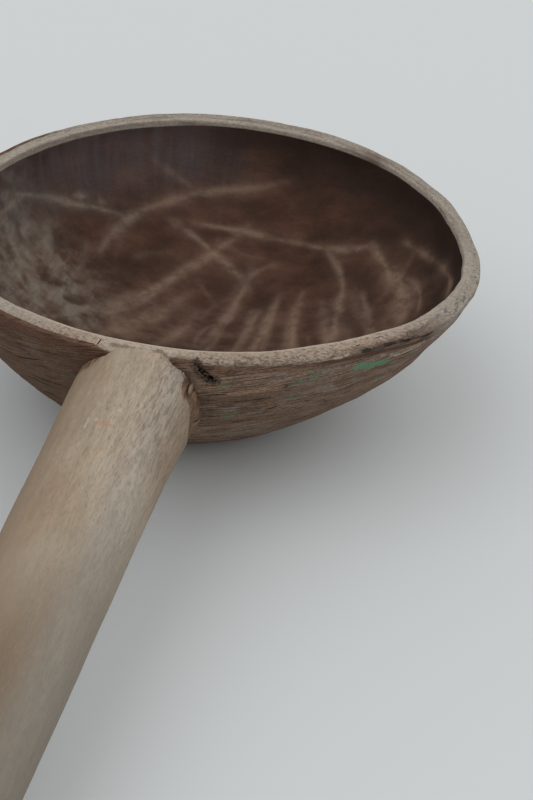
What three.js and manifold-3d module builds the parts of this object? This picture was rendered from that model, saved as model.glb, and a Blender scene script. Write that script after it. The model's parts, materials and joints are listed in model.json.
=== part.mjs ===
// A hand-made wooden ladle: a round hollowed bowl and a stout tapered handle on a wedged through tenon.
// Millimetres, +Z up. The origin is the centre of the bowl's flat foot, and the handle runs out along +X.
import * as THREE from "three";
import { mergeVertices } from "three/addons/utils/BufferGeometryUtils.js";
import Module from "manifold-3d";

const degree = Math.PI / 180;

// Bowl: an oval-sided bowl worn to a flat foot.
const rimRadius = 80.2; // mean outer radius of the rim
const rimWidth = 6.5; // flat top of the wall
const rimRounding = 0.7; // worn edges of that flat
const bowlHeight = 58; // foot to rim
const footRadius = 35; // worn flat on the bottom
const floorThickness = 11; // wood under the deepest point of the hollow
const outsideFullness = 1.45; // exponent of the outside curve: 2 is an ellipse, less is more pointed
const hollowFullness = 1.95; // the same for the hollow

// Hand shaping: the rim is a little three-cornered, and the foot lies off the rim's centre.
const lobeCount = 3;
const lobeHeight = 1.4;
const lobeDirection = 73 * degree;
const footOffset = 6.3;

// Handle: top flush with the rim where it meets the wall, butt resting on the table.
const handleLength = 233; // wall to butt
const shoulderRadius = 16.4; // at the wall
const buttRadius = 11.5; // at the far end
const buttRounding = 3.5;

// Joint: a round tenon through the wall, spread by a wedge driven from inside the bowl.
const tenonRadius = 9;
const wedgeLength = 15;
const wedgeHeadThickness = 3.2;
const wedgeTipThickness = 1.2;
const jointClearance = 0.3; // between any two pieces

// Smoothness of the faceted surfaces.
const bowlSides = 88;
const curveSteps = 16;
const roundingSteps = 3;
const handleSides = 48;
const handleSteps = 12;
const tenonSides = 40;

const wasm = await Module();
wasm.setup();

const toSolid = (geometry) => {
  const bare = geometry.clone();
  bare.deleteAttribute("normal");
  bare.deleteAttribute("uv");
  const merged = mergeVertices(bare, 1e-4);
  return new wasm.Manifold(
    new wasm.Mesh({
      numProp: 3,
      vertProperties: merged.attributes.position.array,
      triVerts: new Uint32Array(merged.index.array),
    }),
  );
};

const toGeometry = (solid) => {
  const mesh = solid.getMesh();
  const geometry = new THREE.BufferGeometry();
  geometry.setAttribute("position", new THREE.BufferAttribute(mesh.vertProperties, 3));
  geometry.setIndex(new THREE.BufferAttribute(mesh.triVerts, 1));
  geometry.computeVertexNormals();
  return geometry;
};

const point = (x, y) => new THREE.Vector2(x, y);

// Quarter round from one direction to another, as profile points.
const roundedCorner = (x, y, radius, from, to) =>
  Array.from({ length: roundingSteps + 1 }, (_, i) => {
    const angle = from + ((to - from) * i) / roundingSteps;
    return point(x + radius * Math.cos(angle), y + radius * Math.sin(angle));
  });

// Side of a super-ellipse hung from the rim, listed from the rim downwards.
// It starts at topDepth and ends at endDepth, both measured down from the rim.
const bowlCurve = (radius, fullDepth, fullness, topDepth, endDepth) => {
  const turn = (depth) => Math.asin(Math.min(1, depth / fullDepth) ** (fullness / 2));
  const first = turn(topDepth);
  const last = turn(endDepth);
  return Array.from({ length: curveSteps + 1 }, (_, i) => {
    const angle = first + ((last - first) * i) / curveSteps;
    const reach = radius * Math.cos(angle) ** (2 / fullness);
    const depth = fullDepth * Math.sin(angle) ** (2 / fullness);
    return point(i === curveSteps && endDepth >= fullDepth ? 0 : reach, bowlHeight - depth);
  });
};

// The outside curve passes through the rim and through the edge of the foot.
const footShare = (1 - (footRadius / rimRadius) ** outsideFullness) ** (1 / outsideFullness);
const outsideDepth = bowlHeight / footShare;
const hollowRadius = rimRadius - rimWidth;
const hollowDepth = bowlHeight - floorThickness;

const hollowReach = (depth) => {
  const share = Math.max(0, 1 - (depth / hollowDepth) ** hollowFullness);
  return hollowRadius * share ** (1 / hollowFullness);
};

// Distance of the hand-shaped outline from its centre line, as a share of the true circle.
const outlineShare = (angle) =>
  1 + (lobeHeight / rimRadius) * Math.cos(lobeCount * (angle - lobeDirection));

// Stands a turned shape up on +Z, then gives it the three-cornered outline and the lean towards the foot.
const handShape = (geometry) => {
  geometry.rotateX(90 * degree);
  const positions = geometry.attributes.position;
  for (let i = 0; i < positions.count; i += 1) {
    const x = positions.getX(i);
    const y = positions.getY(i);
    const depth = bowlHeight - positions.getZ(i);
    const share = outlineShare(Math.atan2(y, x));
    positions.setX(i, x * share);
    positions.setY(i, y * share - (footOffset * depth) / bowlHeight);
  }
  return geometry;
};

const turnedBowlShape = (profile) => toSolid(handShape(new THREE.LatheGeometry(profile, bowlSides)));

const bowlBlank = () => {
  const outside = bowlCurve(rimRadius, outsideDepth, outsideFullness, rimRounding, bowlHeight);
  const hollow = bowlCurve(hollowRadius, hollowDepth, hollowFullness, rimRounding, hollowDepth);
  const edgeHeight = bowlHeight - rimRounding;
  return turnedBowlShape([
    point(0, 0),
    ...outside.reverse(),
    ...roundedCorner(rimRadius - rimRounding, edgeHeight, rimRounding, 0, 90 * degree),
    ...roundedCorner(hollowRadius + rimRounding, edgeHeight, rimRounding, 90 * degree, 180 * degree),
    ...hollow,
  ]);
};

// Everything inside the bowl's outside surface, grown by the clearance and carried up past the rim:
// it copes the handle's shoulder to the wall.
const copingShape = () => {
  const reach = rimRadius + jointClearance;
  const depth = outsideDepth + jointClearance;
  const wall = bowlCurve(reach, depth, outsideFullness, 0, depth);
  const top = bowlHeight + shoulderRadius;
  return turnedBowlShape([...wall.reverse(), point(reach, top), point(0, top)]);
};

// The hollow itself, carried up past the rim: it trims the tenon and the wedge flush inside the bowl.
const hollowShape = () => {
  const wall = bowlCurve(hollowRadius, hollowDepth, hollowFullness, 0, hollowDepth);
  const top = bowlHeight + shoulderRadius;
  return turnedBowlShape([...wall.reverse(), point(hollowRadius, top), point(0, top)]);
};

// The handle's axis leaves the wall one shoulder radius below the rim. It slopes down until the rounded
// edge of the butt touches the table.
const wallX = rimRadius * outlineShare(0);
const axisHeight = bowlHeight - shoulderRadius;
const edgeReach = handleLength - buttRounding;
const edgeRadius = buttRadius - buttRounding;
const handleSlope =
  Math.asin((axisHeight - buttRounding) / Math.hypot(edgeReach, edgeRadius)) -
  Math.atan2(edgeRadius, edgeReach);

// Lays a shape turned about +Y along the handle's axis, its zero at the wall.
const alongHandle = (geometry) => {
  geometry.rotateZ(-90 * degree);
  geometry.rotateY(handleSlope);
  geometry.translate(wallX, 0, axisHeight);
  return toSolid(geometry);
};

// How far inside the wall the joint's shapes start, before they are trimmed to the bowl: the hollow's
// reach at the level of the handle's underside is well clear of the wall.
const jointDepth = wallX - hollowReach(2 * shoulderRadius);

const handleBlank = () => {
  const taper = (shoulderRadius - buttRadius) / edgeReach;
  const sides = Array.from({ length: handleSteps }, (_, i) => {
    const along = -jointDepth + ((edgeReach + jointDepth) * i) / handleSteps;
    return point(shoulderRadius - taper * along, along);
  });
  return alongHandle(
    new THREE.LatheGeometry(
      [
        point(0, -jointDepth),
        ...sides,
        ...roundedCorner(edgeRadius, edgeReach, buttRounding, 0, 90 * degree),
        point(0, handleLength),
      ],
      handleSides,
    ),
  );
};

// A round bar on the handle's axis, from inside the hollow to well inside the handle.
const jointBar = (radius) => {
  const length = jointDepth + wedgeLength;
  const bar = new THREE.CylinderGeometry(radius, radius, length, tenonSides);
  bar.translate(0, length / 2 - jointDepth, 0);
  return alongHandle(bar);
};

// The wedge's head ends at the hollow's surface, on the handle's axis.
const wedgeHead = hollowReach(shoulderRadius) * outlineShare(0) - wallX;

// The wedge stands upright across the tenon, so that it spreads the tenon along the bowl's grain.
// Grown by the clearance it is the kerf that splits the tenon into two cheeks.
const wedgeShape = (margin) => {
  const headHalf = wedgeHeadThickness / 2;
  const growth = (wedgeHeadThickness - wedgeTipThickness) / 2 / wedgeLength;
  const tip = wedgeHead + wedgeLength;
  const tipHalf = wedgeTipThickness / 2;
  const backHalf = headHalf + growth * (jointDepth + wedgeHead);
  const outline = new THREE.Shape([
    point(-backHalf - margin, -jointDepth),
    point(backHalf + margin, -jointDepth),
    point(tipHalf + margin, tip + margin),
    point(-tipHalf - margin, tip + margin),
  ]);
  const height = 2 * (tenonRadius + margin);
  const wedge = new THREE.ExtrudeGeometry(outline, { depth: height, bevelEnabled: false });
  wedge.translate(0, 0, -height / 2);
  return alongHandle(wedge);
};

const hollow = hollowShape();

const bowlSolid = bowlBlank().subtract(jointBar(tenonRadius + jointClearance));
const tenonSolid = jointBar(tenonRadius).subtract(hollow);
const handleSolid = handleBlank()
  .subtract(copingShape())
  .add(tenonSolid)
  .subtract(wedgeShape(jointClearance));
const wedgeSolid = wedgeShape(0).intersect(jointBar(tenonRadius)).subtract(hollow);

const wood = (color, roughness) => new THREE.MeshStandardMaterial({ color, roughness, metalness: 0 });

const named = (name, solid, material) => {
  const mesh = new THREE.Mesh(toGeometry(solid), material);
  mesh.name = name;
  return mesh;
};

const ladle = new THREE.Group();
ladle.name = "ladle";
ladle.add(
  named("bowl", bowlSolid, wood(0x5a4a3e, 0.82)),
  named("handle", handleSolid, wood(0x998b79, 0.88)),
  named("tenon_wedge", wedgeSolid, wood(0x7a6653, 0.85)),
);
ladle.position.y = footOffset; // the foot's centre comes to the origin

export default ladle;
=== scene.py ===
import json
import math
import random

import bpy
import numpy as np
from mathutils import Matrix, Vector


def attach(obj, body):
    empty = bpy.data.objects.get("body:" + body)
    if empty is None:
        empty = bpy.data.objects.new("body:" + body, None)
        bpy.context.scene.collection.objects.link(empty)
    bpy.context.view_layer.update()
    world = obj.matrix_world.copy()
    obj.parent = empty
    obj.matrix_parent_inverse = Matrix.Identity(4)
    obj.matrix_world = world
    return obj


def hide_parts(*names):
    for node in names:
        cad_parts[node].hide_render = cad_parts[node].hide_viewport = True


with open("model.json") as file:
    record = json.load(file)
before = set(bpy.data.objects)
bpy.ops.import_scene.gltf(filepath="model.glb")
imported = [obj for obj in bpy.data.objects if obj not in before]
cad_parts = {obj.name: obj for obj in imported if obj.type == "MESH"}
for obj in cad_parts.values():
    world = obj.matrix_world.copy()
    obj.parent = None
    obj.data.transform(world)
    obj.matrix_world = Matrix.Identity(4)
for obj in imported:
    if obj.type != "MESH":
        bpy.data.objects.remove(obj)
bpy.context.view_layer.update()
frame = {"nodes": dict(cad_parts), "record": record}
mm = 0.001
mounts = {mount["name"]: mount for mount in frame["record"]["mounts"]}
chance = random.Random(41)
print("frame loaded:", ", ".join(sorted(frame["nodes"])))


# mesh helpers

def pick(obj):
    bpy.ops.object.select_all(action="DESELECT")
    obj.select_set(True)
    bpy.context.view_layer.objects.active = obj


def applyModifier(obj, kind, **settings):
    pick(obj)
    made = obj.modifiers.new(kind.lower(), kind)
    for key, value in settings.items():
        setattr(made, key, value)
    bpy.ops.object.modifier_apply(modifier=made.name)


def newMesh(name, points, edges):
    mesh = bpy.data.meshes.new(name)
    mesh.from_pydata(points, edges, [])
    obj = bpy.data.objects.new(name, mesh)
    bpy.context.scene.collection.objects.link(obj)
    return obj


def copyNode(nodeName, pieceName):
    piece = bpy.data.objects.new(pieceName, frame["nodes"][nodeName].data.copy())
    bpy.context.scene.collection.objects.link(piece)
    piece.data.materials.clear()
    pick(piece)
    bpy.ops.object.mode_set(mode="EDIT")
    bpy.ops.mesh.select_all(action="SELECT")
    bpy.ops.mesh.remove_doubles(threshold=0.001 * mm)
    bpy.ops.object.mode_set(mode="OBJECT")
    return piece


def getPlaces(piece):
    flat = np.empty(len(piece.data.vertices) * 3, np.float32)
    piece.data.vertices.foreach_get("co", flat)
    return flat.reshape(-1, 3).astype(float)


def setPlaces(piece, places):
    piece.data.vertices.foreach_set("co", places.astype(np.float32).ravel())
    piece.data.update()


def ease(low, high, value):
    share = np.clip((value - low) / (high - low), 0, 1)
    return share * share * (3 - 2 * share)


# 1 from full to fall, easing in after start and out before end.
def span(value, start, full, fall, end):
    return ease(start, full, value) * (1 - ease(fall, end, value))


def addWeights(piece, name, weights):
    group = piece.vertex_groups.new(name=name)
    for index in np.nonzero(weights > 0.01)[0]:
        group.add([int(index)], float(weights[index]), "REPLACE")
    return name


def addMask(piece, name, values):
    made = piece.data.attributes.new(name, "FLOAT", "POINT")
    made.data.foreach_set("value", np.asarray(values, np.float32))


# Moves the surface in and out by a cloud pattern, drawn out by the sizes given along each axis (mm).
def roughen(piece, name, size, depth, turn, group):
    clouds = bpy.data.textures.new(name, "CLOUDS")
    clouds.noise_scale = 1
    clouds.noise_depth = 2
    bpy.ops.object.empty_add(rotation=turn)
    guide = bpy.context.object
    guide.scale = [length * mm for length in size]
    bpy.context.view_layer.update()
    applyModifier(piece, "DISPLACE", texture=clouds, texture_coords="OBJECT", texture_coords_object=guide,
                  strength=depth, mid_level=0.5, vertex_group=group)
    bpy.data.objects.remove(guide)


# A flattened ellipsoid lying on a surface: the blade of a crack, or a sliver standing on it.
def lens(place, along, outward, length, width, depth, ragged):
    along = (along - outward * along.dot(outward)).normalized()
    across = outward.cross(along)
    bpy.ops.mesh.primitive_uv_sphere_add(segments=20, ring_count=10, radius=1)
    made = bpy.context.object
    for vertex in made.data.vertices:
        vertex.co *= 1 + ragged * chance.uniform(-1, 1)
    scale = Matrix.Diagonal((length / 2, width / 2, depth, 1))
    turn = Matrix((along, across, outward)).transposed().to_4x4()
    made.data.transform(Matrix.Translation(place) @ turn @ scale)
    return made


def joined(parts):
    pick(parts[0])
    for part in parts:
        part.select_set(True)
    if len(parts) > 1:
        bpy.ops.object.join()
    return parts[0]


def carve(piece, parts, material, operation="DIFFERENCE"):
    tool = joined(parts)
    tool.data.materials.append(material)
    applyModifier(piece, "BOOLEAN", object=tool, operation=operation, solver="MANIFOLD",
                  material_mode="TRANSFER")
    bpy.data.objects.remove(tool)


# shader helpers

def feed(tree, socket, value):
    if isinstance(value, bpy.types.NodeSocket):
        tree.links.new(value, socket)
    elif socket.type == "RGBA":
        socket.default_value = (*value, 1)
    else:
        socket.default_value = value


def addNode(tree, kind, inputs=None, **settings):
    node = tree.nodes.new(kind)
    for key, value in settings.items():
        setattr(node, key, value)
    for key, value in (inputs or {}).items():
        feed(tree, node.inputs[key], value)
    return node


def calc(tree, operation, first, second=0.0):
    return addNode(tree, "ShaderNodeMath", {0: first, 1: second}, operation=operation).outputs[0]


def vectorCalc(tree, operation, first, second=(0, 0, 0)):
    return addNode(tree, "ShaderNodeVectorMath", {0: first, 1: second}, operation=operation).outputs


def combine(tree, x, y, z):
    return addNode(tree, "ShaderNodeCombineXYZ", {0: x, 1: y, 2: z}).outputs[0]


def separate(tree, vector):
    return addNode(tree, "ShaderNodeSeparateXYZ", {0: vector}).outputs


def multiply(tree, *factors):
    product = factors[0]
    for factor in factors[1:]:
        product = calc(tree, "MULTIPLY", product, factor)
    return product


def strongest(tree, masks):
    total = masks[0]
    for mask in masks[1:]:
        total = calc(tree, "MAXIMUM", total, mask)
    return total


# A value made to wander by a noise pattern, by up to half the amount each way.
def jitter(tree, value, noise, amount):
    return calc(tree, "ADD", value, multiply(tree, calc(tree, "SUBTRACT", noise, 0.5), amount))


def fade(tree, value, low, high, toLow=0.0, toHigh=1.0):
    inputs = {"Value": value, "From Min": low, "From Max": high, "To Min": toLow, "To Max": toHigh}
    return addNode(tree, "ShaderNodeMapRange", inputs, interpolation_type="SMOOTHSTEP").outputs[0]


def blend(tree, share, base, over, mode="MIX"):
    inputs = {0: share, 6: base, 7: over}
    return addNode(tree, "ShaderNodeMix", inputs, data_type="RGBA", blend_type=mode).outputs[2]


def shade(tree, colour, amount):
    return blend(tree, 1.0, colour, combine(tree, amount, amount, amount), "MULTIPLY")


# Noise whose features have the given sizes, in metres, along the vector's axes.
def cloud(tree, vector, sizes, detail=2.0, roughness=0.55):
    scaled = vectorCalc(tree, "DIVIDE", vector, sizes)[0]
    inputs = {"Vector": scaled, "Scale": 1.0, "Detail": detail, "Roughness": roughness}
    return addNode(tree, "ShaderNodeTexNoise", inputs).outputs[0]


def newGroup(name, inputs, outputs):
    tree = bpy.data.node_groups.new(name, "ShaderNodeTree")
    for label, kind in inputs:
        tree.interface.new_socket(label, in_out="INPUT", socket_type="NodeSocket" + kind)
    for label, kind in outputs:
        tree.interface.new_socket(label, in_out="OUTPUT", socket_type="NodeSocket" + kind)
    return tree, tree.nodes.new("NodeGroupInput").outputs, tree.nodes.new("NodeGroupOutput").inputs


def fillGroup(tree, group, inputs):
    node = addNode(tree, "ShaderNodeGroup", node_tree=group)
    for key, value in inputs.items():
        feed(tree, node.inputs[key], value)
    return node.outputs


def newMaterial(name, roughness, specular=0.5):
    material = bpy.data.materials.new(name)
    material.use_nodes = True
    tree = material.node_tree
    surface = tree.nodes["Principled BSDF"].inputs
    surface["Roughness"].default_value = roughness
    surface["Specular IOR Level"].default_value = specular
    return material, tree, surface


def objectPlace(tree):
    return addNode(tree, "ShaderNodeTexCoord").outputs["Object"]


def readMask(tree, name):
    return addNode(tree, "ShaderNodeAttribute", attribute_name=name).outputs["Fac"]


# Old bare wood, seen in grain space: the first axis runs along the fibres.
def makeGrainGroup():
    tree, taken, given = newGroup(
        "weatheredGrain",
        [("Vector", "Vector")],
        [("Bands", "Float"), ("Fibres", "Float"), ("Checks", "Float"), ("Height", "Float")],
    )
    place = taken["Vector"]
    bands = cloud(tree, place, (70 * mm, 4.5 * mm, 4.5 * mm), 3)
    fibres = cloud(tree, place, (9 * mm, 0.5 * mm, 0.5 * mm), 4, 0.65)
    flecks = cloud(tree, place, (3.4 * mm, 0.55 * mm, 0.55 * mm), 2)
    dashes = fade(tree, flecks, 0.56, 0.7)
    seams = cloud(tree, place, (38 * mm, 2.1 * mm, 2.1 * mm), 1.5)
    offset = calc(tree, "ABSOLUTE", calc(tree, "SUBTRACT", seams, 0.5))
    line = fade(tree, offset, 0.0, 0.016, 1.0, 0.0)
    gate = fade(tree, cloud(tree, place, (22 * mm, 8 * mm, 8 * mm), 2), 0.5, 0.62)
    checks = multiply(tree, line, gate)
    height = calc(tree, "SUBTRACT", fibres, multiply(tree, dashes, 0.5))
    height = calc(tree, "SUBTRACT", height, multiply(tree, checks, 1.2))
    for label, value in (("Bands", bands), ("Fibres", fibres), ("Checks", checks), ("Height", height)):
        tree.links.new(value, given[label])
    return tree


# One worn fleck of old paint or dirt: 1 at its heart, 0 outside it, with a ragged edge.
def makeFleckGroup():
    tree, taken, given = newGroup(
        "raggedFleck",
        [("Vector", "Vector"), ("Centre", "Vector"), ("Half Size", "Vector"), ("Ragged", "Float")],
        [("Mask", "Float")],
    )
    away = vectorCalc(tree, "SUBTRACT", taken["Vector"], taken["Centre"])[0]
    reach = vectorCalc(tree, "LENGTH", vectorCalc(tree, "DIVIDE", away, taken["Half Size"])[0])["Value"]
    ragged = cloud(tree, taken["Vector"], (1.3 * mm, 1.3 * mm, 0.7 * mm), 3, 0.65)
    edge = jitter(tree, reach, ragged, taken["Ragged"])
    tree.links.new(fade(tree, edge, 0.75, 1.05, 1.0, 0.0), given["Mask"])
    return tree


grainGroup = makeGrainGroup()
fleckGroup = makeFleckGroup()


def fleck(tree, place, centre, halfSize, ragged):
    inputs = {"Vector": place, "Centre": centre, "Half Size": halfSize, "Ragged": ragged}
    return fillGroup(tree, fleckGroup, inputs)["Mask"]


def bumped(tree, height, strength, distance):
    inputs = {"Strength": strength, "Distance": distance, "Height": height}
    return addNode(tree, "ShaderNodeBump", inputs).outputs[0]


crackShadeColours = {
    "deep": (0.008, 0.006, 0.005),
    "crumbs": (0.05, 0.032, 0.023),
}


# painted shade: the broken wood inside every crack, split and bore coloured near-black, mottled by a fine
# grit
def makeCrackShade(look):
    material, tree, surface = newMaterial("crackShade", 0.95, 0.1)
    grit = cloud(tree, objectPlace(tree), (0.8 * mm, 0.8 * mm, 0.8 * mm), 3)
    feed(tree, surface["Base Color"], blend(tree, grit, look["deep"], look["crumbs"]))
    return material


crackShadeWood = makeCrackShade(crackShadeColours)

# lay of the wood: the bowl's grain runs across the handle and climbs a little, the handle's runs along it
handleAxis = Vector(mounts["handle_butt"]["axis"])
handleSlope = math.asin(-handleAxis.z)
buttCentre = Vector(mounts["handle_butt"]["pos_m"])
bowlGrainClimb = math.radians(11)


# bowl: a turned outline, made uneven by hand

bowlShape = {
    "rimRadius": 80.2 * mm,
    "rimWidth": 6.5 * mm,
    "rimRounding": 0.6 * mm,
    "height": 58 * mm,
    "footRadius": 35 * mm,
    "floor": 11 * mm,
    "outsideFullness": 1.45,
    "hollowFullness": 1.95,
    "lobe": 1.4 * mm,
    "lobeDirection": math.radians(73),
    "footOffset": 6.3 * mm,
    "mortiseRadius": 9.3 * mm,
    "boreLength": 60 * mm,
    "boreFromButt": 236 * mm,
    "thinnerSide": 1.2 * mm,
    "wornEdge": 2.3 * mm,
    "tornEdge": 0.7 * mm,
    "hewing": 0.7 * mm,
    "grainRelief": 0.45 * mm,
    "rimWear": 0.4 * mm,
    "smallChecks": 46,
    "sides": 400,
    "outsideSteps": 76,
    "hollowSteps": 118,
}
footShare = 1 - (bowlShape["footRadius"] / bowlShape["rimRadius"]) ** bowlShape["outsideFullness"]
outsideDepth = bowlShape["height"] / footShare ** (1 / bowlShape["outsideFullness"])
hollowRadius = bowlShape["rimRadius"] - bowlShape["rimWidth"]
hollowDepth = bowlShape["height"] - bowlShape["floor"]
# where the wall is uneven, in degrees round from the handle: starts, is full, starts to fade, ends
unevenSides = {
    "bulge": (50, 60, 84, 92),
    "dent": (92, 102, 112, 124),
    "farBulge": (130, 142, 208, 226),
    "leftBulge": (208, 226, 255, 275),
    "belly": (48, 60, 78, 94),
    "thinByHandle": (-2, 14, 24, 34),
    "thick": (26, 36, 50, 62),
    "thinnest": (86, 100, 122, 150),
    "wornEdge": (4.5, 8.5, 9.5, 15),
    "tornEdge": (37, 44, 64, 76),
}


def uneven(name, degrees):
    return span(degrees, *unevenSides[name])


def sideReach(radius, fullDepth, fullness, depth):
    share = np.clip(depth, 0, fullDepth) / fullDepth
    return radius * np.maximum(0, 1 - share ** fullness) ** (1 / fullness)


def outlineShare(angle):
    lobe = bowlShape["lobe"] / bowlShape["rimRadius"]
    return 1 + lobe * np.cos(3 * (angle - bowlShape["lobeDirection"]))


def sectionCentre(depth):
    return bowlShape["footOffset"] * (1 - depth / bowlShape["height"])


# How far the wall strays from its three soft lobes, at the rim and below it.
def outOfRound(compass, depth):
    right = uneven("bulge", compass) - uneven("dent", compass)
    left = 1.2 * uneven("farBulge", compass) + 0.5 * uneven("leftBulge", compass)
    return (right + left) * (1 - ease(3 * mm, 24 * mm, depth)) * mm


# The wall's fuller belly on the right, well below the rim.
def bellyOut(compass, depth):
    return 1.1 * uneven("belly", compass) * span(depth, 15.5 * mm, 21 * mm, 27 * mm, 39 * mm) * mm


# A place on the outside of the wall: degrees round from the handle, and depth below the rim.
def onWall(degrees, depth, radius=None):
    angle = math.radians(degrees)
    reach = sideReach(bowlShape["rimRadius"], outsideDepth, bowlShape["outsideFullness"], depth)
    reach = (reach if radius is None else radius) * outlineShare(angle)
    reach += outOfRound(degrees % 360, depth) + bellyOut(degrees % 360, depth)
    return Vector((reach * math.cos(angle), sectionCentre(depth) + reach * math.sin(angle),
                   bowlShape["height"] - depth))


def wallNormal(degrees, depth):
    across = onWall(degrees + 0.5, depth) - onWall(degrees - 0.5, depth)
    up = onWall(degrees, depth - 0.2 * mm) - onWall(degrees, depth + 0.2 * mm)
    return across.cross(up).normalized()


def wallLens(start, end, width, depth, ragged=0.12):
    first = onWall(start[0], start[1] * mm)
    last = onWall(end[0], end[1] * mm)
    run = last - first
    middle = ((start[0] + end[0]) / 2, (start[1] + end[1]) / 2 * mm)
    return lens(onWall(*middle), run, wallNormal(*middle), run.length, width * mm, depth * mm, ragged)


def rimLens(start, end, width, depth, ragged=0.2):
    first = onWall(start[0], 0, start[1] * mm)
    last = onWall(end[0], 0, end[1] * mm)
    run = last - first
    up = Vector((0, 0, 1))
    return lens((first + last) / 2, run, up, run.length, width * mm, depth * mm, ragged)


def sideCurve(radius, fullDepth, fullness, topDepth, endDepth, steps):
    first = math.asin((topDepth / fullDepth) ** (fullness / 2))
    last = math.asin(min(1, endDepth / fullDepth) ** (fullness / 2))
    turns = np.linspace(first, last, steps + 1)
    reach = radius * np.maximum(0, np.cos(turns)) ** (2 / fullness)
    height = bowlShape["height"] - fullDepth * np.sin(turns) ** (2 / fullness)
    return list(zip(reach, height))


def cornerCurve(reach, height, radius, startTurn, endTurn, steps=4):
    turns = np.linspace(startTurn, endTurn, steps + 1)
    return [(reach + radius * math.cos(turn), height + radius * math.sin(turn)) for turn in turns]


# How much thinner the wall is under the rim, as a share of thinnerSide, at each turn round from the handle.
def thinShare(degrees):
    near = 0.4 * uneven("thinByHandle", degrees) - 0.35 * uneven("thick", degrees)
    far = ease(59, 92, degrees) + 0.9 * uneven("thinnest", degrees)
    right = (near + far) * (1 - ease(150, 180, degrees))
    left = 0.45 * (1 - ease(-38, -18, degrees)) + 0.55 * (1 - ease(-125, -95, degrees))
    left -= 0.3 * (1 - ease(-150, -132, degrees))
    return right + left * ease(-178, -152, degrees)


def thinFade(depth):
    return 1 - ease(4 * mm, 30 * mm, depth)


def turnBowl(shape):
    rounding = shape["rimRounding"]
    edge = shape["height"] - rounding
    wallCurve = (shape["rimRadius"], outsideDepth, shape["outsideFullness"])
    hollowCurve = (hollowRadius, hollowDepth, shape["hollowFullness"])
    outside = sideCurve(*wallCurve, rounding, shape["height"], shape["outsideSteps"])
    hollow = sideCurve(*hollowCurve, rounding, hollowDepth, shape["hollowSteps"])
    quarter = math.pi / 2
    foot = [(shape["footRadius"] * share, 0) for share in (0, 0.25, 0.5, 0.75, 0.9)]
    flat = np.linspace(shape["rimRadius"] - rounding, hollowRadius + rounding, 7)[1:-1]
    profile = foot + outside[::-1]
    profile += cornerCurve(shape["rimRadius"] - rounding, edge, rounding, 0, quarter)[1:]
    profile += [(reach, shape["height"]) for reach in flat]
    profile += cornerCurve(hollowRadius + rounding, edge, rounding, quarter, 2 * quarter)[:-1]
    profile += hollow
    points = [(reach, 0, height) for reach, height in profile]
    bowl = newMesh("weathered_bowl", points, [(i, i + 1) for i in range(len(points) - 1)])
    pick(bowl)
    bpy.ops.object.mode_set(mode="EDIT")
    bpy.ops.mesh.select_all(action="SELECT")
    bpy.ops.mesh.spin(steps=shape["sides"], angle=2 * math.pi, center=(0, 0, 0), axis=(0, 0, 1))
    bpy.ops.mesh.select_all(action="SELECT")
    bpy.ops.mesh.remove_doubles(threshold=0.002 * mm)
    bpy.ops.mesh.normals_make_consistent(inside=False)
    bpy.ops.object.mode_set(mode="OBJECT")
    places = getPlaces(bowl)
    share = outlineShare(np.arctan2(places[:, 1], places[:, 0]))
    places[:, :2] *= share[:, None]
    places[:, 1] += sectionCentre(shape["height"] - places[:, 2])
    setPlaces(bowl, places)
    return bowl


# Where each vertex lies: angle from the handle, depth below the rim, distance out, and 1 in the hollow.
def readBowl(places):
    depth = bowlShape["height"] - places[:, 2]
    offset = places[:, 1] - sectionCentre(depth)
    angle = np.arctan2(offset, places[:, 0])
    reach = np.hypot(places[:, 0], offset) / outlineShare(angle)
    wall = sideReach(bowlShape["rimRadius"], outsideDepth, bowlShape["outsideFullness"], depth)
    hollow = sideReach(hollowRadius, hollowDepth, bowlShape["hollowFullness"], depth)
    inside = np.where(depth < hollowDepth + 2 * mm, reach < (wall + hollow) / 2, False)
    return angle, depth, reach, inside.astype(float)


# wood finishes

def turned(tree, place, turn):
    inputs = {"Vector": place, "Rotation": turn}
    return addNode(tree, "ShaderNodeMapping", inputs, vector_type="TEXTURE").outputs[0]


bowlColours = {
    "wall": (0.235, 0.157, 0.11),
    "wallDark": (0.135, 0.085, 0.058),
    "wallGrey": (0.215, 0.175, 0.146),
    "wallOchre": (0.26, 0.145, 0.074),
    "wallLine": (0.045, 0.028, 0.021),
    "underRim": (0.143, 0.078, 0.052),
    "leftTint": (1.0, 0.91, 0.85),
    "jointDirtAndShade": (0.11, 0.07, 0.05),
    "dirt": (0.11, 0.077, 0.057),
    "soil": (0.014, 0.01, 0.009),
    "rim": (0.315, 0.25, 0.195),
    "rimGrey": (0.275, 0.225, 0.178),
    "rimPink": (0.28, 0.2, 0.148),
    "rimSilver": (0.308, 0.28, 0.239),
    "rimPale": (0.37, 0.305, 0.24),
    "rimSpeck": (0.12, 0.074, 0.052),
    "rimStain": (0.024, 0.02, 0.019),
    "rimSmear": (0.085, 0.085, 0.09),
    "redShadowBand": (0.082, 0.046, 0.033),
    "rimTorn": (0.105, 0.07, 0.053),
    "rimDirt": (0.14, 0.112, 0.092),
    "hollow": (0.068, 0.0318, 0.02),
    "hollowDark": (0.042, 0.0205, 0.0134),
    "hollowDarkest": (0.0185, 0.01, 0.0075),
    "paintedSheen": (0.078, 0.068, 0.073),
    "dust": (0.18, 0.152, 0.124),
    "wash": (0.12, 0.077, 0.057),
    "scuff": (0.205, 0.135, 0.097),
    "greyScuff": (0.205, 0.168, 0.13),
    "paint": (0.1, 0.24, 0.136),
    "sliverAndHighlight": (0.47, 0.405, 0.325),
}
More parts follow.
